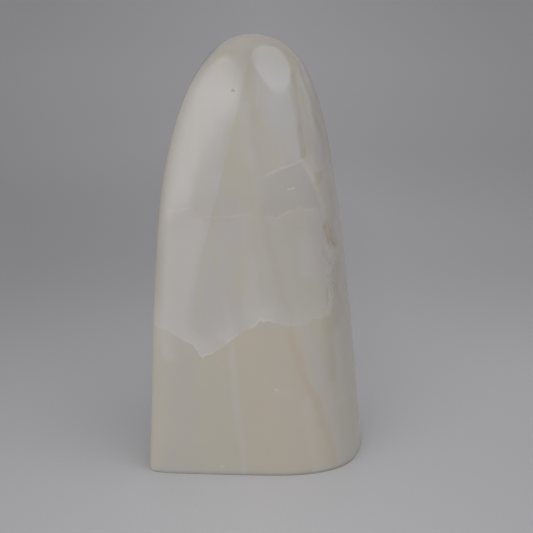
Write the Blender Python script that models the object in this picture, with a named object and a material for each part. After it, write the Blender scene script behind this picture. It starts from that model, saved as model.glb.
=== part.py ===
# Calcite freeform: one block of banded calcite, sawn flat underneath and
# ground and polished into a tall tower with a rounded top.
# Its sides are soft polished faces that meet in blunt ridges, with one crisper
# ridge at the left. Metres, +Z up, and the front face looks along -Y.

import math

import bmesh
import bpy

# Overall size
HEIGHT = 0.130

# Each polished face: the way it looks, in degrees round +Z from +X, its
# distance from the tower's own axis at the foot, the share of that distance
# which it loses in a straight taper, and how late its top starts to curve in.
FACES = {
    "front": (-93.0, 0.0173, 0.03, 4.5),
    "front_right": (-63.0, 0.0206, 0.16, 4.8),
    "right": (-14.0, 0.0259, 0.37, 11.6),
    "back_right": (42.0, 0.0306, 0.04, 2.9),
    "back": (109.0, 0.0298, 0.04, 4.6),
    "left": (175.0, 0.0366, 0.20, 4.6),
    "front_left": (-133.0, 0.0386, 0.13, 4.5),
}

# How the faces meet: the higher the number, the sharper the ridge. The crisp
# ridge is sharpest at the foot and melts into the others towards the top.
SOFT_RIDGE = 8.0
CRISP_RIDGE = 23.0
CRISP_RIDGE_AT = -174.0
CRISP_RIDGE_REACH = 18.0
CRISP_RIDGE_FADE = 1.5

# How the top closes, and where the axis has moved to by then
TOP_ROUNDNESS = 2.2
TOP_SHIFT = (-0.0052, 0.0070)
SHIFT_GROWTH = 1.5

# The sharp edge of the sawn foot is broken by this much
FOOT_EASING = 0.0005

# The mesh: points round the tower, from the left corner of the foot onwards,
# rings up it, and how the rings crowd together towards the top, where the
# surface turns fastest
AROUND = 96
FIRST_POINT_AT = -158.0
RINGS = 38
CROWDING = 1.8

STONE_COLOUR = (0.60, 0.58, 0.53, 1.0)
STONE_ROUGHNESS = 0.18


def clear_scene():
    for old in list(bpy.data.objects):
        bpy.data.objects.remove(old)


def turn_between(a, b):
    """The angle from b to a, the short way round, in degrees."""
    return (a - b + 180.0) % 360.0 - 180.0


def ridge_sharpness(degrees, share):
    """High where faces meet in the crisp ridge, low where they melt together."""
    away = turn_between(degrees, CRISP_RIDGE_AT) / CRISP_RIDGE_REACH
    crispness = math.exp(-away * away) * (1.0 - share**CRISP_RIDGE_FADE)
    return SOFT_RIDGE + (CRISP_RIDGE - SOFT_RIDGE) * crispness


def face_distance(face, share):
    """How far a face stands from the axis, at this share of the height."""
    _, at_foot, taper, fullness = FACES[face]
    closing = (1.0 - share**fullness) ** (1.0 / TOP_ROUNDNESS)
    return at_foot * (1.0 - taper * share) * closing


def section_radius(degrees, share):
    """The distance from the axis to the surface, one way out from it."""
    sharpness = ridge_sharpness(degrees, share)
    total = 0.0
    for face, (looks, *_) in FACES.items():
        facing = math.cos(math.radians(degrees - looks))
        if facing > 0.0:
            total += (facing / face_distance(face, share)) ** sharpness
    return total ** (-1.0 / sharpness)


def ring_points(share, inset=0.0, height=None):
    """One closed ring of points round the tower."""
    shift = share**SHIFT_GROWTH
    z = share * HEIGHT if height is None else height
    points = []
    for step in range(AROUND):
        degrees = FIRST_POINT_AT + 360.0 * step / AROUND
        radius = section_radius(degrees, share) - inset
        x = TOP_SHIFT[0] * shift + radius * math.cos(math.radians(degrees))
        y = TOP_SHIFT[1] * shift + radius * math.sin(math.radians(degrees))
        points.append((x, y, z))
    return points


def tower_rings():
    """The rings from the sawn foot upwards, without the single top point."""
    rings = [
        ring_points(0.0, inset=FOOT_EASING, height=0.0),
        ring_points(0.0, inset=FOOT_EASING * 0.3, height=FOOT_EASING * 0.3),
        ring_points(0.0, height=FOOT_EASING),
    ]
    for step in range(1, RINGS):
        share = 1.0 - (1.0 - step / RINGS) ** CROWDING
        rings.append(ring_points(share))
    return rings


def box_centre(rings):
    """The middle, seen from above, of the box round the tower: the origin."""
    xs = [point[0] for ring in rings for point in ring]
    ys = [point[1] for ring in rings for point in ring]
    return (min(xs) + max(xs)) / 2, (min(ys) + max(ys)) / 2


def tower_mesh():
    """The closed mesh: a flat foot, the ring walls, and a point on top."""
    rings = tower_rings()
    middle_x, middle_y = box_centre(rings)
    bm = bmesh.new()
    loops = []
    for ring in rings:
        loops.append([bm.verts.new((x - middle_x, y - middle_y, z)) for x, y, z in ring])
    top = bm.verts.new((TOP_SHIFT[0] - middle_x, TOP_SHIFT[1] - middle_y, HEIGHT))
    bm.faces.new(reversed(loops[0]))
    for lower, upper in zip(loops, loops[1:]):
        for step in range(AROUND):
            after = (step + 1) % AROUND
            bm.faces.new((lower[step], lower[after], upper[after], upper[step]))
    for step in range(AROUND):
        after = (step + 1) % AROUND
        bm.faces.new((loops[-1][step], loops[-1][after], top))
    mesh = bpy.data.meshes.new("calcite_freeform")
    bm.to_mesh(mesh)
    bm.free()
    return mesh


def calcite_material():
    material = bpy.data.materials.new("polished_calcite")
    material.use_nodes = True
    shader = material.node_tree.nodes["Principled BSDF"]
    shader.inputs["Base Color"].default_value = STONE_COLOUR
    shader.inputs["Roughness"].default_value = STONE_ROUGHNESS
    shader.inputs["Metallic"].default_value = 0.0
    return material


def make_freeform():
    mesh = tower_mesh()
    mesh.materials.append(calcite_material())
    mesh.shade_smooth()
    mesh.set_sharp_from_angle(angle=math.radians(50.0))
    stone = bpy.data.objects.new("calcite_freeform", mesh)
    bpy.context.scene.collection.objects.link(stone)
    return stone


clear_scene()
make_freeform()
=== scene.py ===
# %% [markdown]
# # A polished calcite freeform
#
# A freeform is one block of stone, sawn flat underneath and ground by hand
# into a shape that stands by itself. This one is banded calcite: milky,
# waxy and slightly see-into, with a white veil and a few healed cracks inside.
#
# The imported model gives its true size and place. This lesson gives it the
# smooth polish, the bands and the marks that a collector would look for.

import math

import bpy
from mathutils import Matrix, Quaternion, Vector


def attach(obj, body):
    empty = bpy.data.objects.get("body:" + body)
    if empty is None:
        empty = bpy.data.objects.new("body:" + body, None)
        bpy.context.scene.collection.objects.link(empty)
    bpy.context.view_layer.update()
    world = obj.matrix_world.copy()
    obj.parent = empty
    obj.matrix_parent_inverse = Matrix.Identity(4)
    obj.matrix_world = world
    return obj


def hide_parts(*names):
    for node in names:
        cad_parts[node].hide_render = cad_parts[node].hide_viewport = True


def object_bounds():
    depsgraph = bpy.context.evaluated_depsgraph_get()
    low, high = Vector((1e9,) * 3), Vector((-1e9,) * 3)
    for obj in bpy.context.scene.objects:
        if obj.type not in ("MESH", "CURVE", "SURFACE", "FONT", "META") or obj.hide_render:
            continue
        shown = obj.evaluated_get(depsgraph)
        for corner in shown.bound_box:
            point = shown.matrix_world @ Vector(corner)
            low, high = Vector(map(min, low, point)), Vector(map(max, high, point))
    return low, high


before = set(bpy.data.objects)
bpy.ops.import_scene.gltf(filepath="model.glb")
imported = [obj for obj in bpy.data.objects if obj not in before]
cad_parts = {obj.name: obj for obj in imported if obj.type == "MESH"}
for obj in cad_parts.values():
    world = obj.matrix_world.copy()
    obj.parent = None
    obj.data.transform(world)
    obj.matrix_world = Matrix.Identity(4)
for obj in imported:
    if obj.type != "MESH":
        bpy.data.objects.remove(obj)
cad_low, cad_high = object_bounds()
cad_size = cad_high - cad_low
print("CAD box, mm:", [round(side * 1000, 1) for side in cad_size])

# %% [markdown]
# ## The camera
#
# The camera comes first, so that every later step can be looked at. It stands
# a little over half a metre away, about 20 degrees above the table, with a
# long lens. A long lens keeps the upright edges of a small object upright.

# %% Camera
PICTURE_WIDTH = 533
SENSOR_WIDTH = 36.0
FOCAL_LENGTH_IN_PIXELS = 2007.0
CAMERA_PLACE = Vector((0.0049, -0.5718, 0.2692))
CAMERA_AIM = Vector((0.0030, -0.0090, 0.0614))

camera = bpy.data.objects.new("camera", bpy.data.cameras.new("camera"))
bpy.context.scene.collection.objects.link(camera)
camera.data.sensor_width = SENSOR_WIDTH
camera.data.lens = FOCAL_LENGTH_IN_PIXELS / PICTURE_WIDTH * SENSOR_WIDTH
camera.location = CAMERA_PLACE
camera.rotation_euler = (CAMERA_AIM - CAMERA_PLACE).to_track_quat("-Z", "Y").to_euler()
bpy.context.scene.camera = camera
print("lens, mm:", round(camera.data.lens, 1))

# %% [markdown]
# ## Arithmetic that builds nodes
#
# Both the shape and the markings of the stone are formulas. Written out as
# single Math nodes they are hard to read, so this small class lets a formula
# be written as a formula: every sum or product on a Field adds the node that
# does it. It works in a Geometry Nodes tree and in a material alike.

# %% Fields
class Field:
    """A number that varies over a surface: one output socket of a node tree."""

    def __init__(self, tree, socket):
        self.tree = tree
        self.socket = socket

    def math(self, operation, *values):
        """The result of one Math node on some values."""
        node = self.tree.nodes.new("ShaderNodeMath")
        node.operation = operation
        for socket, value in zip(node.inputs, values):
            feed(self.tree, socket, value)
        return Field(self.tree, node.outputs[0])

    def __add__(self, other):
        return self.math("ADD", self, other)

    def __radd__(self, other):
        return self.math("ADD", other, self)

    def __sub__(self, other):
        return self.math("SUBTRACT", self, other)

    def __rsub__(self, other):
        return self.math("SUBTRACT", other, self)

    def __mul__(self, other):
        return self.math("MULTIPLY", self, other)

    def __rmul__(self, other):
        return self.math("MULTIPLY", other, self)

    def __truediv__(self, other):
        return self.math("DIVIDE", self, other)

    def __rtruediv__(self, other):
        return self.math("DIVIDE", other, self)

    def __pow__(self, other):
        return self.math("POWER", self, other)

    def at_least(self, lowest):
        return self.math("MAXIMUM", self, lowest)

    def at_most(self, highest):
        return self.math("MINIMUM", self, highest)

    def clamped(self):
        """Kept from 0 to 1, by two plain nodes: a Clamp box would use up Cycles' room."""
        return self.at_least(0.0).at_most(1.0)

    def rise(self, low, high):
        """0 below low, 1 above high, and a smooth step between the two."""
        node = self.tree.nodes.new("ShaderNodeMapRange")
        node.interpolation_type = "SMOOTHSTEP"
        node.clamp = False
        feed(self.tree, node.inputs["Value"], self)
        feed(self.tree, node.inputs["From Min"], low)
        feed(self.tree, node.inputs["From Max"], high)
        return Field(self.tree, node.outputs["Result"])

    def fall(self, low, high):
        """1 below low, 0 above high, and a smooth step between the two."""
        return 1.0 - self.rise(low, high)


def feed(tree, socket, value):
    """Puts a Field, a socket or a plain value into a socket."""
    if isinstance(value, Field):
        tree.links.new(value.socket, socket)
    elif isinstance(value, bpy.types.NodeSocket):
        tree.links.new(value, socket)
    else:
        socket.default_value = value


def add_node(tree, kind, inputs=None, **settings):
    """Adds a node, makes its settings and fills its named inputs."""
    node = tree.nodes.new(kind)
    for name, value in settings.items():
        setattr(node, name, value)
    for name, value in (inputs or {}).items():
        feed(tree, node.inputs[name], value)
    return node


def add_group(tree, group, inputs, output):
    """Adds a copy of a node group, fills its inputs and gives one output."""
    kind = tree.bl_idname.replace("Tree", "Group")
    return Field(tree, add_node(tree, kind, inputs, node_tree=group).outputs[output])


# %% Vectors and noise
def split(tree, vector):
    """The three parts of a vector as Fields."""
    node = add_node(tree, "ShaderNodeSeparateXYZ", {"Vector": vector})
    return [Field(tree, node.outputs[part]) for part in "XYZ"]


def joined(tree, x, y, z):
    """A vector from three numbers or Fields."""
    return add_node(tree, "ShaderNodeCombineXYZ", {"X": x, "Y": y, "Z": z}).outputs["Vector"]


def of_vectors(tree, operation, *values, output="Vector"):
    """A Vector Math node on some vectors."""
    node = add_node(tree, "ShaderNodeVectorMath", operation=operation)
    for socket, value in zip(node.inputs, values):
        feed(tree, socket, value)
    return node.outputs[output]


def scaled(tree, vector, factor):
    """A vector times a number or Field."""
    inputs = {"Vector": vector, "Scale": factor}
    return add_node(tree, "ShaderNodeVectorMath", inputs, operation="SCALE").outputs["Vector"]


def noise(tree, place, scale, detail=2.0, roughness=0.5):
    """Soft random numbers from 0 to 1, with a mean of a half."""
    inputs = {"Vector": place, "Scale": scale, "Detail": detail, "Roughness": roughness}
    return Field(tree, add_node(tree, "ShaderNodeTexNoise", inputs).outputs[0])


def line_gap_group(kind):
    """A node group that measures how far a point is from a straight line."""
    tree = bpy.data.node_groups.new("line_gap", kind)
    for name in ("Place", "From", "To"):
        tree.interface.new_socket(name=name, in_out="INPUT", socket_type="NodeSocketVector")
    tree.interface.new_socket(name="Gap", in_out="OUTPUT", socket_type="NodeSocketFloat")
    source = add_node(tree, "NodeGroupInput").outputs
    offset = of_vectors(tree, "SUBTRACT", source["Place"], source["From"])
    run = of_vectors(tree, "SUBTRACT", source["To"], source["From"])
    along = Field(tree, of_vectors(tree, "DOT_PRODUCT", offset, run, output="Value"))
    length = Field(tree, of_vectors(tree, "DOT_PRODUCT", run, run, output="Value"))
    nearest = scaled(tree, run, (along / length).clamped())
    gap = of_vectors(tree, "DISTANCE", offset, nearest, output="Value")
    add_node(tree, "NodeGroupOutput", {"Gap": gap})
    return tree


print("helpers are ready")

# %% [markdown]
# ## The rule behind the shape
#
# A stone that is ground by hand ends up as a few flattish faces that melt into
# each other. A neat rule for that is a rounded polygon: each face pulls the
# outline in to its own distance from the tower's axis, and a high power makes
# the ridge between two faces crisp while a low one makes it soft. Going up,
# each face comes nearer to the axis, first in a straight taper and then in a
# curve, until all of them close in one round top.
#
# The faces are those of the CAD model, so the fine stone lies in the same
# place as the plain solid that it replaces.

# %% Faces of the stone
# The axis moves by the top shift on its way up, little at first. A roundness of
# 2 would close the top as an egg does, and a higher one closes it more bluntly.
HEIGHT = cad_size.z
AXIS_AT_FOOT = Vector((0.00493, -0.00802, 0.0))
TOP_SHIFT = Vector((-0.0052, 0.0070, 0.0))
SHIFT_GROWTH = 1.5
TOP_ROUNDNESS = 2.2

# Each face: the way it looks in degrees round +Z from +X, its distance from
# the axis at the foot, the share of it lost in the taper, and how late its
# top starts to curve in.
FACES = {
    "front": (-93.0, 0.0173, 0.03, 4.5),
    "front_right": (-63.0, 0.0206, 0.16, 4.8),
    "right": (-14.0, 0.0259, 0.37, 11.6),
    "back_right": (42.0, 0.0306, 0.04, 2.9),
    "back": (109.0, 0.0298, 0.04, 4.6),
    "left": (175.0, 0.0366, 0.20, 4.6),
    "front_left": (-133.0, 0.0386, 0.13, 4.5),
}

# The power for most ridges, and the higher one for the crisp ridge at the left,
# which reaches some way to both sides and softens on its way up.
SOFT_RIDGE = 8.0
CRISP_RIDGE = 23.0
CRISP_RIDGE_AT = math.radians(-174.0)
CRISP_RIDGE_REACH = math.radians(18.0)
CRISP_RIDGE_FADE = 1.5

print(len(FACES), "faces, height", round(HEIGHT * 1000, 1), "mm")

# %% [markdown]
# ## Marks that can be felt
#
# Most of what one sees in calcite is inside it and is only colour. A few marks
# can be felt with a fingernail: a tiny pit near the top, a rusty groove and
# some lost flakes along the right ridge, and small bruises along the edge of
# the foot. They go into the mesh, as shallow hollows round short lines.

# %% Hollows
# Each hollow: where its line starts and ends, its half width and its depth.
HOLLOWS = {
    "pit": ((-0.0065, -0.0125, 0.1166), (-0.0064, -0.0125, 0.1163), 0.0004, 0.00035),
    "fissure": ((0.0204, -0.0135, 0.0754), (0.0222, -0.0122, 0.0689), 0.0007, 0.00035),
    "lost_flake": ((0.0203, -0.0155, 0.0684), (0.0222, -0.0130, 0.0640), 0.0014, 0.00022),
    "small_flake": ((0.0213, -0.0165, 0.0560), (0.0214, -0.0172, 0.0500), 0.0008, 0.00018),
    "foot_bruise": ((-0.0030, -0.0251, 0.0000), (-0.0018, -0.0251, 0.0000), 0.0005, 0.00020),
    "corner_bruise": ((0.0262, -0.0175, 0.0000), (0.0268, -0.0160, 0.0000), 0.0010, 0.00040),
    "back_bruise": ((0.0060, 0.0246, 0.0000), (0.0095, 0.0235, 0.0000), 0.0009, 0.00035),
}
print(len(HOLLOWS), "hollows")

# %% [markdown]
# ## The shape as Geometry Nodes
#
# The tree starts from a flat grid and rolls it up: one way runs round the
# tower, the other runs from the middle of the foot, over its broken edge and
# up the wall to the top. Merging by distance then closes the seam, the middle
# of the foot and the top. Each face is one copy of a small nested group, so
# the seven of them differ only in their four numbers.
#
# The wall starts a hair inside the CAD model's. After it is rolled up, it is
# moved inwards along its normals, by the slow waviness that hand polishing
# leaves and by the hollows. As nothing moves outwards, the stone stays inside
# the CAD model's box.

# %% One face as a nested group
# The pull is the number of reference lengths in the distance, which keeps the
# powers near 1. A share of exactly 1 would divide by nothing at the top.
REFERENCE = 0.025
ALMOST_ALL = 0.9999


def polished_face_group():
    """How strongly one face pulls at a point: the more, the nearer it is."""
    tree = bpy.data.node_groups.new("polished_face", "GeometryNodeTree")
    names = ("Angle", "Share", "Sharpness", "Roundness", "Looks", "At Foot", "Taper", "Fullness")
    for name in names:
        tree.interface.new_socket(name=name, in_out="INPUT", socket_type="NodeSocketFloat")
    tree.interface.new_socket(name="Pull", in_out="OUTPUT", socket_type="NodeSocketFloat")
    source = add_node(tree, "NodeGroupInput").outputs
    value = {name: Field(tree, source[name]) for name in names}
    facing = value["Angle"].math("COSINE", value["Angle"] - value["Looks"]).at_least(0.0)
    closing = (1.0 - value["Share"] ** value["Fullness"]) / (1.0 - value["Share"])
    distance = value["At Foot"] * (1.0 - value["Taper"] * value["Share"])
    distance = distance * closing ** (1.0 / value["Roundness"])
    pull = (facing * REFERENCE / distance) ** value["Sharpness"]
    add_node(tree, "NodeGroupOutput", {"Pull": pull})
    return tree


face_group = polished_face_group()
print("nested group", face_group.name, "has", len(face_group.nodes), "nodes")

# %% The whole stone as one tree
# The seam runs up from the left corner of the foot. The rings crowd together
# towards the top, where the surface turns fastest. The skin is how far the wall
# stays inside the CAD model's.
FIRST_COLUMN_AT = math.radians(-158.0)
CROWDING = 1.8
MERGE_DISTANCE = 0.000001
TOWER_INPUTS = {
    "Height": ("NodeSocketFloat", HEIGHT),
    "Columns": ("NodeSocketInt", 300),
    "Foot Rings": ("NodeSocketInt", 20),
    "Edge Rings": ("NodeSocketInt", 5),
    "Wall Rings": ("NodeSocketInt", 280),
    "Foot Easing": ("NodeSocketFloat", 0.00025),
    "Soft Ridge": ("NodeSocketFloat", SOFT_RIDGE),
    "Crisp Ridge": ("NodeSocketFloat", CRISP_RIDGE),
    "Top Roundness": ("NodeSocketFloat", TOP_ROUNDNESS),
    "Axis At Foot": ("NodeSocketVector", AXIS_AT_FOOT),
    "Top Shift": ("NodeSocketVector", TOP_SHIFT),
    "Waviness": ("NodeSocketFloat", 0.00012),
    "Waves Per Metre": ("NodeSocketFloat", 55.0),
    "Skin": ("NodeSocketFloat", 0.00003),
}


def tower_outline(tree, size, angle, share):
    """How far the wall is from the axis, at an angle and a share of the height."""
    away = angle.math("WRAP", angle - CRISP_RIDGE_AT, math.pi, -math.pi) / CRISP_RIDGE_REACH
    crispness = away.math("EXPONENT", away * away * -1.0) * (1.0 - share**CRISP_RIDGE_FADE)
    sharpness = size["Soft Ridge"] + (size["Crisp Ridge"] - size["Soft Ridge"]) * crispness
    pull = 0.0
    for looks, at_foot, taper, fullness in FACES.values():
        inputs = {
            "Angle": angle,
            "Share": share.at_most(ALMOST_ALL),
            "Sharpness": sharpness,
            "Roundness": size["Top Roundness"],
            "Looks": math.radians(looks),
            "At Foot": at_foot,
            "Taper": taper,
            "Fullness": fullness,
        }
        pull = add_group(tree, face_group, inputs, "Pull") + pull
    closing = (1.0 - share) ** (1.0 / size["Top Roundness"])
    return REFERENCE * closing * pull ** (-1.0 / sharpness)


def rolled_place(tree, size):
    """Where each point of the flat grid goes on the stone."""
    # The grid runs from -0.5 to 0.5 both ways. Across becomes an angle round the
    # tower, and along counts the rings from the middle of the foot to the top.
    across, along, _ = split(tree, add_node(tree, "GeometryNodeInputPosition").outputs["Position"])
    angle = (across + 0.5) * math.tau + FIRST_COLUMN_AT
    ring = (along + 0.5) * (size["Foot Rings"] + size["Edge Rings"] + size["Wall Rings"])
    foot_part = (ring / size["Foot Rings"]).clamped()
    edge_turn = ((ring - size["Foot Rings"]) / size["Edge Rings"]).clamped() * (math.pi / 2)
    wall_part = ((ring - size["Foot Rings"] - size["Edge Rings"]) / size["Wall Rings"]).clamped()

    # The wall starts where the broken edge of the foot ends.
    easing = size["Foot Easing"]
    first_share = easing / size["Height"]
    share = first_share + (1.0 - first_share) * (1.0 - (1.0 - wall_part) ** CROWDING)
    inset = easing * (1.0 - angle.math("SINE", edge_turn))
    radius = tower_outline(tree, size, angle, share) - inset - size["Skin"]
    radius = radius.at_least(0.0) * foot_part

    axis_x, axis_y, _ = split(tree, size["Axis At Foot"])
    shift_x, shift_y, _ = split(tree, size["Top Shift"])
    shifting = share**SHIFT_GROWTH
    edge_height = easing * (1.0 - angle.math("COSINE", edge_turn))
    return joined(
        tree,
        axis_x + shift_x * shifting + radius * angle.math("COSINE", angle),
        axis_y + shift_y * shifting + radius * angle.math("SINE", angle),
        edge_height + size["Height"] * (share - first_share),
    )


# %% Wear
# The waves set in between the first two heights, so that the foot stays flat,
# and are nearly gone between the other two. A hollow has its full depth inside
# this share of its half width.
WAVES_SET_IN = (0.0002, 0.0060)
WAVES_FADE = (0.1240, 0.1300)
WAVES_LOST_AT_TOP = 0.9
HOLLOW_FLOOR = 0.3


def worn_offset(tree, size):
    """The small move inwards of every point, along its normal."""
    gap_group = line_gap_group("GeometryNodeTree")
    place = add_node(tree, "GeometryNodeInputPosition").outputs["Position"]
    normal = add_node(tree, "GeometryNodeInputNormal").outputs["Normal"]
    height = split(tree, place)[2]
    waves = noise(tree, place, size["Waves Per Metre"], detail=1.0)
    fading = height.rise(*WAVES_SET_IN) * (1.0 - height.rise(*WAVES_FADE) * WAVES_LOST_AT_TOP)
    depth = size["Waviness"] * waves * fading
    for start, end, half_width, hollow in HOLLOWS.values():
        inputs = {"Place": place, "From": Vector(start), "To": Vector(end)}
        gap = add_group(tree, gap_group, inputs, "Gap")
        depth = depth + gap.fall(half_width * HOLLOW_FLOOR, half_width) * hollow
    return scaled(tree, normal, depth * -1.0)


# %% Build the tree
def tower_tree():
    """The stone's surface, from named sizes."""
    tree = bpy.data.node_groups.new("polished_tower", "GeometryNodeTree")
    for name, (kind, value) in TOWER_INPUTS.items():
        socket = tree.interface.new_socket(name=name, in_out="INPUT", socket_type=kind)
        socket.default_value = value
    tree.interface.new_socket(name="Stone", in_out="INPUT", socket_type="NodeSocketMaterial")
    tree.interface.new_socket(name="Geometry", in_out="OUTPUT", socket_type="NodeSocketGeometry")
    source = add_node(tree, "NodeGroupInput").outputs
    size = {name: Field(tree, source[name]) for name in TOWER_INPUTS}

    rings = size["Foot Rings"] + size["Edge Rings"] + size["Wall Rings"]
    counts = {"Size X": 1.0, "Size Y": 1.0, "Vertices X": size["Columns"] + 1, "Vertices Y": rings + 1}
    shape = add_node(tree, "GeometryNodeMeshGrid", counts).outputs["Mesh"]
    steps = [
        ("GeometryNodeSetPosition", {"Position": rolled_place(tree, size)}),
        ("GeometryNodeMergeByDistance", {"Distance": MERGE_DISTANCE}),
        ("GeometryNodeSetPosition", {"Offset": worn_offset(tree, size)}),
        ("GeometryNodeSetShadeSmooth", {}),
        ("GeometryNodeRealizeInstances", {}),
        ("GeometryNodeSetMaterial", {"Material": source["Stone"]}),
    ]
    for kind, inputs in steps:
        shape = add_node(tree, kind, {"Geometry": shape, **inputs}).outputs["Geometry"]
    add_node(tree, "NodeGroupOutput", {"Geometry": shape})
    return tree


tower = tower_tree()
print("tree", tower.name, "has", len(tower.nodes), "nodes")

# %% [markdown]
# ## The colours inside
#
# Calcite like this grew in layers, and the layers fan out a little as they run
# down the block. Some are milky, some olive, some tan, and a few are stained
# orange by iron. The contrast is very low: the stone is seen as through fog.
#
# Everything is measured in millimetres from the middle of the foot, on Object
# coordinates, so the layers run right through the stone and meet at its ridges
# as real ones do.

# %% Colours of the stone
def paint(red, green, blue):
    """A colour from picture values of 0 to 255, for a colour socket."""
    def linear(value):
        value = value / 255.0
        return value / 12.92 if value <= 0.04045 else ((value + 0.055) / 1.055) ** 2.4

    return (linear(red), linear(green), linear(blue), 1.0)


PAINTS = {
    "grey": paint(193, 189, 184),
    "milk": paint(207, 203, 199),
    "white": paint(222, 220, 217),
    "olive": paint(195, 190, 171),
    "tan": paint(199, 188, 172),
    "bluish": paint(195, 195, 194),
    "clear": paint(184, 181, 176),
    "rust": paint(189, 162, 129),
    "ochre": paint(177, 147, 96),
    "umber": paint(135, 107, 70),
    "moss": paint(160, 150, 132),
}
print(len(PAINTS), "paints")
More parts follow.
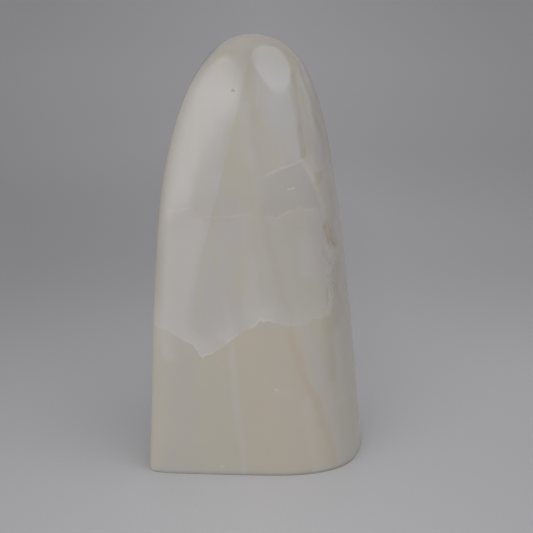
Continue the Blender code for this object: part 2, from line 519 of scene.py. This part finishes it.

# %% [markdown]
# ## Veins and stains placed one by one
#
# The broad layers can be random, but an eye that knows this stone looks for
# certain marks: the pale seam low in the front, the orange streaks that lean
# to the right, the pale and brown lines on the brow, and the rusty groove and
# chipped line along the right ridge. Each is a line on the front, given by a
# few points x and z in millimetres. It is full inside its half width and fades
# out over its softness. A ragged one is broken up by noise, as a stain is.

# %% Veins on the front
# Each vein: points (x, z), half width, softness, raggedness, paint, strength.
VEINS = {
    "seam": ([(-7.5, 43), (-6.2, 24), (-3.2, 0)], 0.6, 1.2, 0.5, "milk", 0.22),
    "seam_line": ([(-7.3, 41), (-5.9, 22), (-3.0, 0)], 0.0, 0.8, 0.5, "white", 0.06),
    "seam_flush": ([(-10.5, 41), (-9.5, 36)], 1.0, 3.0, 1.0, "tan", 0.45),
    "crown_olive": ([(-1.5, 124), (-0.8, 112)], 1.2, 3.5, 0.8, "moss", 0.12),
    "crown_line": ([(0.2, 120), (0.3, 112)], 0.1, 0.5, 0.1, "white", 0.12),
    "high_pale": ([(-2.6, 112), (-3.2, 103), (-2.2, 96)], 0.5, 2.2, 0.8, "milk", 0.20),
    "high_olive": ([(-7, 106), (-9.3, 96)], 0.8, 2.4, 0.6, "olive", 0.36),
    "olive_wedge": ([(-7, 88), (-5.5, 95)], 1.0, 2.6, 0.8, "olive", 0.46),
    "brow_grey": ([(5.5, 112), (7.5, 102)], 2.0, 4.0, 0.8, "grey", 0.50),
    "brow_bluish": ([(9.5, 109), (11.5, 99)], 0.8, 2.2, 0.5, "bluish", 0.45),
    "middle_pale": ([(-1.8, 67), (-1.3, 53)], 1.4, 2.0, 0.6, "milk", 0.22),
    "left_pale": ([(-8.9, 56), (-8.1, 46)], 0.4, 1.6, 0.4, "milk", 0.22),
    "middle_olive": ([(-7.5, 72), (-4.7, 66), (-5.9, 57)], 0.8, 3.0, 0.8, "olive", 0.55),
    "thin_olive": ([(-12.9, 71), (-10.1, 61)], 0.3, 1.4, 0.4, "olive", 0.45),
    "high_rust": ([(-0.9, 110), (0.3, 102), (1.7, 94)], 0.2, 2.0, 1.0, "rust", 0.09),
    "middle_rust": ([(1.8, 83), (3.5, 74), (5.8, 65), (8.1, 56), (10, 50)], 0.2, 2.0, 1.4, "ochre", 0.11),
    "low_rust": ([(9.9, 46), (11.2, 41), (13.9, 32), (18.2, 22)], 0.2, 1.6, 1.4, "rust", 0.18),
    "lowest_rust": ([(18.2, 22), (21.7, 10), (24.2, 1)], 0.4, 2.2, 1.4, "rust", 0.23),
    "crack_rust": ([(-18, 81.2), (-15, 80.5), (-7.6, 80.3)], 0.1, 1.6, 1.2, "rust", 0.15),
    "low_left_milk": ([(-27.2, 46), (-26.2, 38)], 0.6, 2.6, 0.6, "milk", 0.40),
    "high_bluish": ([(14.3, 73), (15.2, 64)], 0.9, 2.2, 0.8, "bluish", 0.45),
    "low_bluish": ([(13.8, 47), (16.2, 39.5), (18.4, 29.7)], 0.8, 2.4, 0.8, "bluish", 0.30),
    "low_milk": ([(14.8, 23), (16.7, 14), (18.6, 1)], 0.5, 2.4, 0.8, "milk", 0.20),
    "low_patch": ([(6.2, 27.4), (12.4, 25.2)], 0.4, 2.2, 1.2, "bluish", 0.24),
    "slant_crack": ([(2.8, 92.9), (6.9, 94.7), (13.1, 96.6)], 0.1, 0.5, 0.5, "white", 0.28),
    "slant_down": ([(13.1, 96.6), (16.7, 90.9), (19.4, 82.3), (19.8, 79)], 0.1, 0.9, 0.6, "white", 0.19),
    "side_arc": ([(18.3, 92.2), (20.2, 92.8), (21.8, 94)], 0.1, 0.8, 0.5, "milk", 0.30),
    "white_flake": ([(9.3, 88.5), (11.2, 88.6)], 0.0, 0.5, 0.3, "white", 0.32),
    "brow_brown": ([(10.5, 120), (11.6, 111), (13.7, 98)], 0.3, 1.2, 0.5, "moss", 0.40),
    "brow_cool": ([(4.0, 121), (7.5, 110)], 2.8, 4.0, 0.8, "bluish", 0.60),
    "brow_dusk": ([(12.8, 115), (14.2, 107), (15.4, 99)], 0.8, 1.4, 0.5, "moss", 0.15),
    "brow_pale": ([(12.2, 121), (14.3, 114.5), (16.2, 107.4), (18.9, 96)], 0.1, 0.8, 0.3, "bluish", 0.62),
    "ridge_brown": ([(12.3, 123), (14.5, 117.2), (16.7, 109.3), (19.2, 101)], 0.1, 0.6, 0.4, "moss", 0.28),
    "rust_high": ([(15.1, 100.5), (15.5, 98.5)], 0.0, 2.4, 1.4, "rust", 0.18),
    "rust_spot": ([(18.2, 91), (18.5, 89.5)], 0.0, 2.2, 1.8, "ochre", 0.32),
    "rust_tail": ([(17.2, 88.5), (18.2, 85.5)], 0.0, 1.6, 1.2, "rust", 0.16),
    "flank_moss": ([(20.2, 87), (21.6, 78.6), (22.6, 70)], 0.3, 2.2, 1.4, "moss", 0.14),
    "fissure_stain": ([(20.6, 76.1), (23.0, 68.2)], 0.0, 2.0, 1.6, "ochre", 0.36),
    "fissure": ([(21.2, 74.5), (21.6, 73), (22.4, 70.9), (23.1, 68.2)], 0.0, 0.5, 0.9, "umber", 0.36),
    "chips": ([(21.2, 69.6), (21.8, 66.2), (22.8, 64.1), (21.8, 62)], 0.0, 2.2, 2.8, "white", 0.12),
    "chip_line": ([(21.8, 60), (22.3, 53.4), (21.4, 49.6)], 0.0, 1.6, 1.8, "milk", 0.15),
    "moss_strip": ([(22.8, 64), (23.5, 55.6), (23.8, 46)], 0.3, 2.2, 1.4, "moss", 0.20),
    "flank_brown": ([(21.2, 47), (22.2, 38), (23.2, 29)], 0.5, 2.4, 1.0, "moss", 0.16),
    "side_pale": ([(24.0, 42), (24.8, 31), (26.0, 21)], 0.2, 1.8, 1.0, "milk", 0.22),
    "speck": ([(5.6, 27.9), (6.3, 27.6)], 0.1, 0.6, 0.3, "white", 0.30),
    "foot_speck": ([(-10.8, 2.8), (-10.4, 2.8)], 0.3, 0.6, 0.6, "white", 0.25),
    "dark_pit": ([(-6.5, 116.6), (-6.4, 116.4)], 0.0, 0.42, 0.0, "umber", 0.65),
}
DULL_VEINS = ("fissure", "chips", "chip_line", "white_flake", "dark_pit")
print(len(VEINS), "veins in front")

# %% Veins on the back
BACK_VEINS = {
    "long_rust": ([(-9, 104), (-12, 70), (-17, 30), (-20, 4)], 0.3, 1.8, 1.4, "rust", 0.30),
    "short_rust": ([(6, 118), (8, 96), (9, 84)], 0.2, 1.4, 1.2, "rust", 0.26),
    "back_seam": ([(4, 62), (7, 30), (9, 0)], 0.4, 0.8, 0.3, "white", 0.35),
    "back_olive": ([(12, 96), (15, 66), (17, 40)], 1.5, 4.0, 1.2, "olive", 0.60),
    "back_milk": ([(-3, 112), (-4, 84), (-6, 56)], 1.5, 3.5, 1.2, "milk", 0.40),
    "back_moss": ([(-22, 62), (-24, 36)], 0.4, 4.5, 2.0, "moss", 0.26),
}
print(len(BACK_VEINS), "veins at the back")

# %% [markdown]
# ## The veil and the cracks
#
# The most striking thing in the stone is a fracture that healed long ago. It
# cuts right across at about a third of the height. Its lower edge is jagged
# and catches the light, and the stone above it looks milkier. A finer crack
# lies nearly level higher up, and a short slanting one is among the veins.
# The veil and the level crack are surfaces through the stone: a Float Curve
# says how high each is at each x, and it climbs slowly towards the back.

# %% Heights of the healed cracks
# Each crack: how much it climbs per millimetre of depth, and its points (x, z).
CRACKS = {
    "veil": (
        0.30,
        [(-33, 46), (-26, 45.8), (-22.5, 43.2), (-19, 41.6), (-16.3, 38.3), (-14.1, 38.3), (-9, 42.3),
         (-4.8, 45.8), (-0.4, 48.1), (1.1, 49.9), (5, 49.2), (11.4, 47.8), (19.2, 48.1), (33, 51)],
    ),
    "level_crack": (
        0.22,
        [(-33, 80), (-24, 81.7), (-19.3, 82.6), (-16.5, 80.7), (-11.4, 80.1), (-2.6, 81.2), (6, 80.1),
         (9.5, 81.6), (13, 81.8), (17.3, 80.2), (23, 77.7), (33, 75)],
    ),
}
# A Float Curve runs from 0 to 1 both ways: here across from minus to plus its
# reach, and up to its height. The front face is at the last of the three, in y.
CURVE_REACH = 34.0
CURVE_HEIGHT = 130.0
FRONT_AT = -22.0


def along_curve(x):
    """An x in millimetres as a share of the curve's width."""
    return (x + CURVE_REACH) / (2.0 * CURVE_REACH)


def crack_height(tree, x, y, climb, points):
    """How high a crack lies, in millimetres, over each x and y."""
    node = add_node(tree, "ShaderNodeFloatCurve", {"Value": along_curve(x)})
    curve = node.mapping.curves[0]
    for point, (at_x, at_z) in zip(curve.points, (points[0], points[-1])):
        point.location = (along_curve(at_x), at_z / CURVE_HEIGHT)
    for at_x, at_z in points[1:-1]:
        curve.points.new(along_curve(at_x), at_z / CURVE_HEIGHT)
    for point in curve.points:
        point.handle_type = "VECTOR"
    node.mapping.update()
    return Field(tree, node.outputs["Value"]) * CURVE_HEIGHT + (y - FRONT_AT) * climb


print(len(CRACKS), "cracks")

# %% [markdown]
# ## The calcite itself
#
# The base colour is the layers, then the zones and the edges of the cracks,
# then the veins, each mixed over the last. Subsurface scattering lets light
# sink in and come out again some millimetres away, which is what makes the
# stone look milky and not painted. A smooth top with calcite's own index of
# refraction, about 1.65, gives the soft window-like gleam of a hand polish;
# the flakes and the fissure are duller, because no wheel reached them.

# %% Zones and their paints
# Each zone: its paint, and how strongly it is mixed over what lies under it.
ZONES = {
    "olive_layers": ("olive", 0.50),
    "milky_layers": ("milk", 0.32),
    "tan_layers": ("tan", 0.16),
    "low_olive": ("olive", 0.40),
    "low_warm": ("tan", 0.65),
    "foot_stain": ("ochre", 0.45),
    "left_band": ("milk", 0.42),
    "leaning_pale": ("milk", 0.34),
    "leaning_dusk": ("olive", 0.50),
    "clear_patch": ("clear", 0.50),
    "under_crack": ("clear", 0.30),
    "veil_fog": ("milk", 0.22),
    "shaded_left_rim": ("moss", 0.36),
    "crown": ("tan", 0.30),
    "side_olive": ("olive", 0.30),
    "side_clear": ("clear", 0.28),
    "side_milk": ("milk", 0.50),
    "veil_lip": ("white", 0.34),
    "veil_glow": ("white", 0.26),
    "crack_line": ("white", 0.20),
}

# Each line that a zone ends at: its x at a height z, and how much x grows per
# millimetre up.
LINES = {
    "band_left": (-26.0, 73.5, 0.06),
    "band_right": (-16.0, 72.0, 0.18),
    "leaning_edge": (-13.1, 80.7, 0.245),
    "seam": (-7.4, 43.0, -0.1),
    "clear_right": (13.1, 96.6, -0.44),
}


def mixed(tree, under, over, amount):
    """One colour mixed over another."""
    node = add_node(tree, "ShaderNodeMix", data_type="RGBA")
    feed(tree, node.inputs[0], amount)
    feed(tree, node.inputs[6], under)
    feed(tree, node.inputs[7], over)
    return node.outputs[2]


def with_zone(tree, colour, name, amount):
    """One zone mixed over the colour."""
    paint_name, strength = ZONES[name]
    return mixed(tree, colour, PAINTS[paint_name], amount * strength)


def past_line(x, z, name):
    """How far to the right of a leaning line a place is."""
    at_x, at_z, lean = LINES[name]
    return x - (at_x + (z - at_z) * lean)


print(len(ZONES), "zones")

# %% Layers
# A layer slants to the left towards the back, so depth counts as some way
# across. Below the veil the layers fan out round one line, and above it round
# another, faster: the two are this far across, in millimetres. CLEAR_FRONT is
# how strongly the finer layers show in the front.
LAYER_SLANT = 0.45
LAYER_WANDER = 8.0
LOW_FAN_ROUND = -18.0
HIGH_FAN_ROUND = -5.0
CLEAR_FRONT = 0.35


def layer_noise(tree, layer, per_layer, detail):
    """Random numbers that change only from layer to layer."""
    inputs = {"W": layer * per_layer, "Scale": 1.0, "Detail": detail}
    node = add_node(tree, "ShaderNodeTexNoise", inputs, noise_dimensions="1D")
    return Field(tree, node.outputs[0])


def layered_colour(tree, place, veil):
    """The slow change of colour across the layers, above and below the veil."""
    x, y, z = split(tree, place)
    stretched = of_vectors(tree, "MULTIPLY", place, Vector((1.0, 1.0, 0.3)))
    wander = (noise(tree, stretched, 0.05) - 0.5) * LAYER_WANDER
    across = x + (y - FRONT_AT) * LAYER_SLANT + wander
    low_fan = (across - LOW_FAN_ROUND) / (1.0 + (45.0 - z) / 85.0)
    high_fan = (across - HIGH_FAN_ROUND) / (0.55 + (115.0 - z).at_least(0.0) / 55.0)
    layer = low_fan + (high_fan - low_fan) * veil
    broad = layer_noise(tree, layer, 0.11, 0.0)
    narrow = layer_noise(tree, layer, 0.28, 1.0)
    fine = layer_noise(tree, layer, 1.1, 1.0)
    clearness = CLEAR_FRONT + y.rise(-9.0, 4.0) * (1.0 - CLEAR_FRONT)
    clearness = clearness * (1.0 - z.rise(88.0, 112.0) * 0.55)
    colour = with_zone(tree, PAINTS["grey"], "olive_layers", broad.rise(0.30, 0.70))
    colour = with_zone(tree, colour, "milky_layers", narrow.rise(0.40, 0.75) * clearness)
    return with_zone(tree, colour, "tan_layers", fine.rise(0.40, 0.75) * clearness)


# %% Zones below the veil
def low_zones(tree, place, colour, veil):
    """Warm tan to the right of the seam, and a stain along the foot's edge."""
    x, y, z = split(tree, place)
    below = 1.0 - veil
    colour = with_zone(tree, colour, "low_olive", below * (1.0 - x.rise(18.0, 30.0) * 0.625))
    past_seam = past_line(x, z, "seam").rise(-0.2, 1.2)
    warm = past_seam * x.fall(12.0, 24.0) * y.fall(-4.0, 6.0)
    colour = with_zone(tree, colour, "low_warm", warm * below)
    return with_zone(tree, colour, "foot_stain", z.fall(0.1, 1.0) * x.rise(-12.0, 22.0))


# %% Zones above the veil, at the left
def left_zones(tree, place, colour, heights, veil):
    """The milky band at the left, and the edge that leans to the right."""
    x, y, z = split(tree, place)
    front_veil = veil * y.fall(-4.0, 3.0)
    band = past_line(x, z, "band_left").rise(-1.5, 0.5) * past_line(x, z, "band_right").fall(-2.2, 0.8)
    under_crack = (z - heights["level_crack"]).fall(-0.3, 0.3)
    colour = with_zone(tree, colour, "left_band", band * under_crack * veil)
    # Lower down the edge leans less and is blurred.
    blur = z.fall(50.0, 78.0)
    past_edge = past_line(x, z, "leaning_edge") - (66.0 - z).at_least(0.0) * 0.12
    pale = past_edge.rise(-9.0, -1.5) * past_edge.fall(-0.2 - blur * 1.6, 0.3 + blur * 0.8)
    colour = with_zone(tree, colour, "leaning_pale", pale * front_veil * (1.0 - blur * 0.41))
    dusky = past_edge.rise(-0.1, 0.5) * past_edge.fall(0.6, 5.0) * z.fall(103.0, 113.0)
    return with_zone(tree, colour, "leaning_dusk", dusky * front_veil * (1.0 - blur * 0.5))


# %% Zones above the veil, at the right and all over
def other_zones(tree, place, colour, heights, veil):
    """The clearer grey at the right, the milk above the veil, the left rim with its painted shade, and the
    crown.
    """
    x, y, z = split(tree, place)
    above_veil = z - heights["veil"]
    above_crack = z - heights["level_crack"]
    front = y.fall(-4.0, 3.0)
    under_slant = (z - (91.8 + x * 0.36)).fall(-0.5, 0.1)
    clear = above_crack.rise(-0.5, 1.0) * under_slant * x.rise(0.0, 6.0)
    clear = clear * past_line(x, z, "clear_right").fall(-0.3, 0.5)
    colour = with_zone(tree, colour, "clear_patch", clear * front)
    between = above_veil.rise(0.0, 6.0) * above_crack.fall(-6.0, 0.0) * x.rise(-6.0, 4.0)
    colour = with_zone(tree, colour, "under_crack", between * front)
    colour = with_zone(tree, colour, "veil_fog", veil * above_veil.fall(0.5, 14.0))
    # A darker, yellower rim along the left shoulder above the veil: partly the stone's own colour, partly
    # painted shade where the shoulder turns away from the light.
    rim = x.fall(-30.5, -26.0) * z.fall(82.0, 92.0) * z.rise(42.0, 70.0)
    colour = with_zone(tree, colour, "shaded_left_rim", rim)
    return with_zone(tree, colour, "crown", z.rise(117.0, 127.0))


# %% The warmer right side
def warm_side(tree, place, colour):
    """Past the right ridge, which leans in towards the top, the stone is warmer."""
    x, _, z = split(tree, place)
    ridge = (26.0 - z * 0.13).at_least(20.0)
    ridge = ridge - (z - 80.0).at_least(0.0).at_most(17.0) * 0.40 - (z - 97.0).at_least(0.0) * 0.13
    past_ridge = (x - ridge).rise(-0.8, 1.6)
    colour = with_zone(tree, colour, "side_olive", past_ridge * (1.0 - z.rise(75.0, 95.0) * 0.83))
    colour = with_zone(tree, colour, "side_clear", past_ridge * z.fall(40.0, 90.0))
    return with_zone(tree, colour, "side_milk", past_ridge * z.rise(55.0, 80.0) * z.fall(88.0, 98.0))


# %% Edges of the cracks
def crack_edges(tree, place, colour, heights):
    """The bright jagged lip of the veil, and the faint line of the crack."""
    x, _, z = split(tree, place)
    patches = noise(tree, place, 0.22, detail=3.0).rise(0.35, 0.65)
    above_veil = z - heights["veil"]
    left_part = x.rise(-23.0, -20.0) * x.fall(-8.0, -4.0)
    right_part = x.rise(-3.5, -1.0) * x.fall(4.0, 7.0)
    bright = 0.10 + (left_part + right_part) * (0.45 + patches * 0.4)
    lip = above_veil.rise(-0.2, 0.2) * above_veil.fall(0.2, 1.3)
    glow = above_veil.rise(-0.1, 0.4) * above_veil.fall(2.0, 8.0)
    colour = with_zone(tree, colour, "veil_lip", lip * bright)
    colour = with_zone(tree, colour, "veil_glow", glow * bright)
    above_crack = z - heights["level_crack"]
    line = above_crack.rise(-0.7, -0.1) * above_crack.fall(0.0, 0.5)
    return with_zone(tree, colour, "crack_line", line * patches)


# %% One vein
def vein_amount(tree, seen, rough, gap_group, points, half_width, softness, raggedness):
    """How strongly a vein shows at each place, from 0 to 1."""
    gaps = []
    for start, end in zip(points, points[1:]):
        inputs = {
            "Place": seen,
            "From": Vector((start[0], 0.0, start[1])),
            "To": Vector((end[0], 0.0, end[1])),
        }
        gaps.append(add_group(tree, gap_group, inputs, "Gap"))
    nearest = gaps[0]
    for gap in gaps[1:]:
        nearest = nearest.at_most(gap)
    return (nearest + (rough - 0.5) * raggedness).fall(half_width, half_width + softness)


# %% Veins over all
# In millimetres: how far noise bends the straight lines, and between which two
# depths the front's veins fade out and the back's set in.
BEND = 2.0
FRONT_FADES = (-6.0, 1.0)
BACK_SETS_IN = (2.0, 9.0)
PALEST_PATCH = 0.65


def with_veins(tree, place, colour):
    """The listed veins, mixed over the colour, and where the polish is lost."""
    gap_group = line_gap_group("ShaderNodeTree")
    y = split(tree, place)[1]
    shaky = add_node(tree, "ShaderNodeTexNoise", {"Vector": place, "Scale": 0.14, "Detail": 3.0})
    shake = of_vectors(tree, "SUBTRACT", shaky.outputs["Color"], Vector((0.5, 0.5, 0.5)))
    shaken = of_vectors(tree, "ADD", place, scaled(tree, shake, BEND))
    seen = of_vectors(tree, "MULTIPLY", shaken, Vector((1.0, 0.0, 1.0)))
    rough = noise(tree, place, 0.7, detail=3.0, roughness=0.6)
    patches = noise(tree, place, 0.16, detail=2.0).rise(0.35, 0.65)
    patchy = PALEST_PATCH + patches * (1.0 - PALEST_PATCH)
    dull = 0.0
    for veins, side in ((VEINS, y.fall(*FRONT_FADES)), (BACK_VEINS, y.rise(*BACK_SETS_IN))):
        for name, (points, half_width, softness, raggedness, paint_name, strength) in veins.items():
            widths = (half_width, softness, raggedness)
            amount = vein_amount(tree, seen, rough, gap_group, points, *widths) * side
            colour = mixed(tree, colour, PAINTS[paint_name], amount * patchy * strength)
            if name in DULL_VEINS:
                dull = amount + dull
    return colour, dull.clamped()


# %% The material
# How far noise moves the cracks up and down is in millimetres. The depth of the
# polish's ripple and the reach of the scattering, which red light has more of
# than blue, are in metres.
CRACKS_MOVE = 2.6
RIPPLE_DEPTH = 0.000016
REFRACTION = 1.65
SCATTERED_SHARE = 0.85
SCATTERING_REACH = 0.006
SCATTERING_OF_COLOURS = (1.0, 0.82, 0.60)


def calcite():
    """Milky banded calcite with a hand polish."""
    material = bpy.data.materials.new("banded_calcite")
    material.use_nodes = True
    tree = material.node_tree
    shader = tree.nodes["Principled BSDF"]
    metres = add_node(tree, "ShaderNodeTexCoord").outputs["Object"]
    place = scaled(tree, metres, 1000.0)
    x, y, z = split(tree, place)
    ragged = (noise(tree, place, 0.55, detail=3.0) - 0.5) * CRACKS_MOVE
    heights = {
        "veil": crack_height(tree, x, y, *CRACKS["veil"]) + ragged,
        "level_crack": crack_height(tree, x, y, *CRACKS["level_crack"]) + ragged * 0.4,
    }
    veil = (z - heights["veil"]).rise(-0.15, 0.20)

    colour = layered_colour(tree, place, veil)
    colour = low_zones(tree, place, colour, veil)
    colour = left_zones(tree, place, colour, heights, veil)
    colour = other_zones(tree, place, colour, heights, veil)
    colour = warm_side(tree, place, colour)
    colour = crack_edges(tree, place, colour, heights)
    colour, dull = with_veins(tree, place, colour)
    # Soft clouds all over, and painted shade: a slow darkening towards the top, strongest on the crown,
    # where the lamps light the stone most.
    clouds = noise(tree, place, 0.05, detail=3.0)
    painted_top_shade = z.rise(60.0, 118.0) * 0.06 + z.rise(115.0, 127.0) * 0.14
    colour = scaled(tree, colour, 0.97 + clouds * 0.06 - painted_top_shade)
    feed(tree, shader.inputs["Base Color"], colour)

    # A nearly even polish, with a faint ripple that runs mostly up the stone.
    polish = noise(tree, place, 0.12, detail=3.0)
    feed(tree, shader.inputs["Roughness"], 0.08 + polish * 0.04 + dull * 0.28)
    upright = of_vectors(tree, "MULTIPLY", place, Vector((1.0, 1.0, 0.05)))
    ripple = noise(tree, place, 0.35, detail=2.0) + noise(tree, upright, 0.9, detail=2.0)
    inputs = {"Height": ripple, "Distance": RIPPLE_DEPTH, "Strength": 1.0}
    bump = add_node(tree, "ShaderNodeBump", inputs)
    feed(tree, shader.inputs["Normal"], bump.outputs["Normal"])
    shader.inputs["IOR"].default_value = REFRACTION
    shader.inputs["Subsurface Weight"].default_value = SCATTERED_SHARE
    shader.inputs["Subsurface Radius"].default_value = SCATTERING_OF_COLOURS
    shader.inputs["Subsurface Scale"].default_value = SCATTERING_REACH
    return material


stone_material = calcite()
print("material", stone_material.name, "has", len(stone_material.node_tree.nodes), "nodes")

# %% [markdown]
# ## From the tree to a plain mesh
#
# The modifier's result is turned into a plain mesh, which is what rides on the
# CAD body and what other programs can read. The modifier's inputs are filled
# by the sockets' identifiers, before anything evaluates them.

# %% The stone
def plain_stone():
    """The evaluated tree as a mesh object at the origin."""
    holder = bpy.data.objects.new("holder", bpy.data.meshes.new("holder"))
    bpy.context.scene.collection.objects.link(holder)
    modifier = holder.modifiers.new("tower", "NODES")
    modifier.node_group = tower
    for item in tower.interface.items_tree:
        if item.in_out == "INPUT" and item.name in TOWER_INPUTS:
            modifier[item.identifier] = TOWER_INPUTS[item.name][1]
        elif item.in_out == "INPUT":
            modifier[item.identifier] = stone_material
    bpy.context.view_layer.update()
    evaluated = holder.evaluated_get(bpy.context.evaluated_depsgraph_get())
    mesh = bpy.data.meshes.new_from_object(evaluated)
    mesh.materials.clear()
    mesh.materials.append(stone_material)
    mesh.name = "calcite_tower"
    bpy.data.objects.remove(holder)
    stone = bpy.data.objects.new("calcite_tower", mesh)
    bpy.context.scene.collection.objects.link(stone)
    return stone


stone = plain_stone()
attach(stone, "root")
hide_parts("calcite_freeform")
triangles = sum(len(face.vertices) - 2 for face in stone.data.polygons)
print("stone:", len(stone.data.vertices), "points,", triangles, "triangles")
print("materials on it:", len(stone.data.materials))

# %% [markdown]
# ## The table
#
# A plain pale sheet, a little grainy. It is large, so that the camera never
# sees where it ends. Painted shade darkens it a little behind the stone and
# to the sides, where the light of a small room would fall off.

# %% Floor
FLOOR_HALF = 3.0


def pale_floor_material():
    """A grainy pale grey, with painted shade."""
    material = bpy.data.materials.new("pale_sheet")
    material.use_nodes = True
    tree = material.node_tree
    shader = tree.nodes["Principled BSDF"]
    place = add_node(tree, "ShaderNodeTexCoord").outputs["Object"]
    grain = noise(tree, place, 900.0, detail=4.0)
    cloud = noise(tree, place, 6.0, detail=2.0)
    colour = mixed(tree, paint(189, 188, 189), paint(197, 196, 196), grain)
    x, y, _ = split(tree, place)
    # Painted shade: darker behind the stone, a little lighter again farther off, and darker
    # to both sides of a middle line that swings to the right behind the stone.
    shade = y.rise(0.02, 0.18) * 0.21 - y.rise(0.22, 0.50) * 0.11
    aside = x - y.rise(-0.02, 0.08) * y.fall(0.20, 0.32) * 0.05
    shade = shade + (aside.math("ABSOLUTE", aside) * 1.4).at_most(0.20)
    feed(tree, shader.inputs["Base Color"], scaled(tree, colour, 0.98 + cloud * 0.06 - shade))
    feed(tree, shader.inputs["Roughness"], 0.45 + grain * 0.1)
    return material


def floor():
    """One large square at the height of the stone's foot."""
    mesh = bpy.data.meshes.new("floor")
    turns = [(-1, -1), (1, -1), (1, 1), (-1, 1)]
    corners = [(x * FLOOR_HALF, y * FLOOR_HALF, cad_low.z) for x, y in turns]
    mesh.from_pydata(corners, [], [(0, 1, 2, 3)])
    sheet = bpy.data.objects.new("floor", mesh)
    bpy.context.scene.collection.objects.link(sheet)
    mesh.materials.append(pale_floor_material())
    return sheet


floor()
print("floor, m:", 2 * FLOOR_HALF)

# %% [markdown]
# ## Soft light from a window and a round lamp
#
# A polished stone is drawn by what it reflects. A tall window at the left
# stands upright, and gives the long pale gleam down the left shoulder. A round
# soft lamp high up at the right gives the oval on the brow. The narrow gap
# between the two is the dark stripe on the crown. A curtain lets the window
# fade out, so that the gleam has one soft side and one crisp side.

# %% Lights
# Each light: shape, place, the point it looks at, how far its top leans to the
# right in degrees, width, height and power.
SOFT_LIGHTS = {
    "left_window": ("RECTANGLE", (-0.44, -0.57, 0.82), (0.11, -0.14, 0.82), 0.0, 1.25, 1.58, 9.7),
    "right_lamp": ("ELLIPSE", (0.329, -0.322, 0.693), (-0.07, -0.09, 0.04), -12.8, 0.93, 0.76, 1.75),
}
DAYLIGHT = (0.97, 0.98, 1.0)
ALONG_WINDOW = Vector((0.616, -0.788, 0.0))


def soft_light(name, shape, place, looks_at, lean, width, height, power):
    """A large flat light, which the camera itself doesn't see."""
    light = bpy.data.lights.new(name, "AREA")
    light.shape = shape
    light.size = width
    light.size_y = height
    light.energy = power
    light.color = DAYLIGHT
    lamp = bpy.data.objects.new(name, light)
    bpy.context.scene.collection.objects.link(lamp)
    lamp.location = place
    facing = (Vector(looks_at) - Vector(place)).to_track_quat("-Z", "Y")
    lamp.rotation_euler = (facing @ Quaternion((0.0, 0.0, 1.0), -math.radians(lean))).to_euler()
    lamp.visible_camera = False
    return lamp


for name, setting in SOFT_LIGHTS.items():
    lamp = soft_light(name, *setting)
    print(name, "at", [round(part, 2) for part in lamp.location])


# %% A curtain for the window
# In metres, along the window to the right or up. The right edge is farthest out
# at one height, and draws in below and above it.
LEFT_FADE = (-0.45, 0.50)
TOP_FADE = (1.3, 1.6)
RIGHT_EDGE = 0.72
RIGHT_EDGE_BLUR = 0.07
FARTHEST_OUT_AT = 0.5


def hang_curtain(light):
    """Lets the window fade out: slowly to the left, and quickly to the right."""
    light.use_nodes = True
    tree = light.node_tree
    place = add_node(tree, "ShaderNodeNewGeometry").outputs["Position"]
    z = split(tree, place)[2]
    along = Field(tree, of_vectors(tree, "DOT_PRODUCT", place, ALONG_WINDOW, output="Value"))
    drawn_in = (FARTHEST_OUT_AT - z).at_least(0.0) * 0.4 + (z - FARTHEST_OUT_AT).at_least(0.0) * 0.2
    past_edge = along - (RIGHT_EDGE - drawn_in)
    bright = along.rise(*LEFT_FADE) * past_edge.fall(-RIGHT_EDGE_BLUR, RIGHT_EDGE_BLUR) * z.fall(*TOP_FADE)
    feed(tree, tree.nodes["Emission"].inputs["Strength"], bright)


hang_curtain(bpy.data.lights["left_window"])
print("curtain hung")

# %% The room
# A grey room fills the shadows. The Standard view shows colours as they are.
ROOM_COLOUR = (0.51, 0.51, 0.53, 1.0)
ROOM_STRENGTH = 0.82

world = bpy.data.worlds.new("room")
world.use_nodes = True
background = world.node_tree.nodes["Background"]
background.inputs["Color"].default_value = ROOM_COLOUR
background.inputs["Strength"].default_value = ROOM_STRENGTH
bpy.context.scene.world = world
bpy.context.scene.view_settings.view_transform = "Standard"
print("the room's light:", ROOM_STRENGTH)
